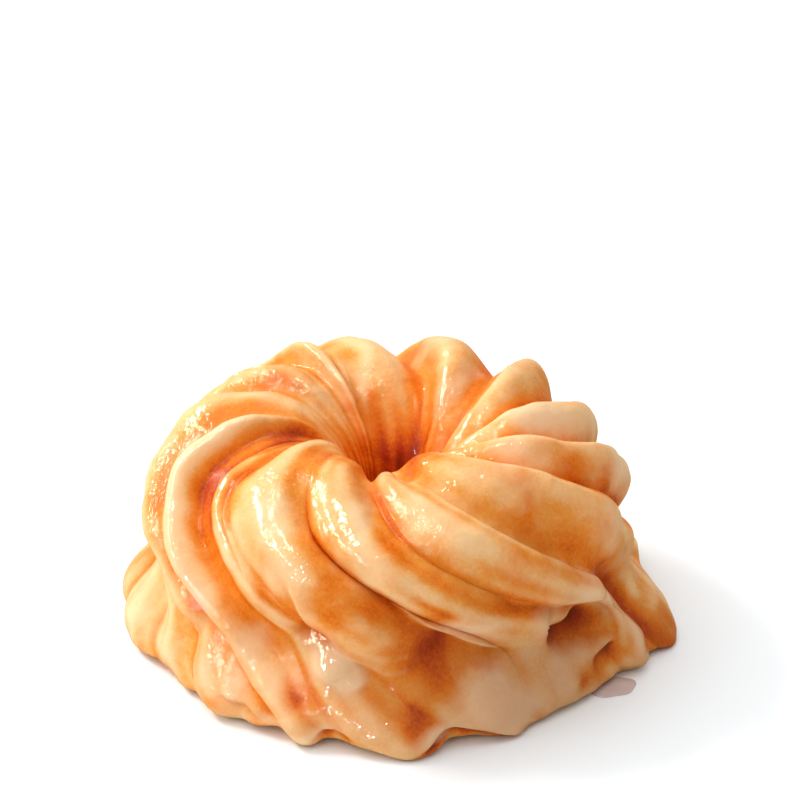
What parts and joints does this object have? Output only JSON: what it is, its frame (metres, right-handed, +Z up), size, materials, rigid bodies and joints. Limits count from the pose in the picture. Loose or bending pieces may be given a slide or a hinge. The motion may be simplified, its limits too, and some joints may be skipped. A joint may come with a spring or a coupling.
{
  "type": "cruller doughnut",
  "caption": "Ring-shaped fried cruller doughnut with swirling piped ridges, an uneven flared foot and a small hole, under a thin sugar glaze.",
  "frame": {"origin": "middle of the bounding box's bottom face, on the table that the doughnut rests on", "axes": "+Z up through the hole, the face with the lowest part of the rim and the largest glaze drops towards -Y"},
  "size_m": [0.0948, 0.0914, 0.0423],
  "materials": {
    "glazed_dough": "golden fried dough under a thin, glossy, slightly milky sugar glaze, deeper orange in the seams"
  },
  "bodies": {
    "root": {"cruller": "glazed_dough"}
  },
  "joints": []
}
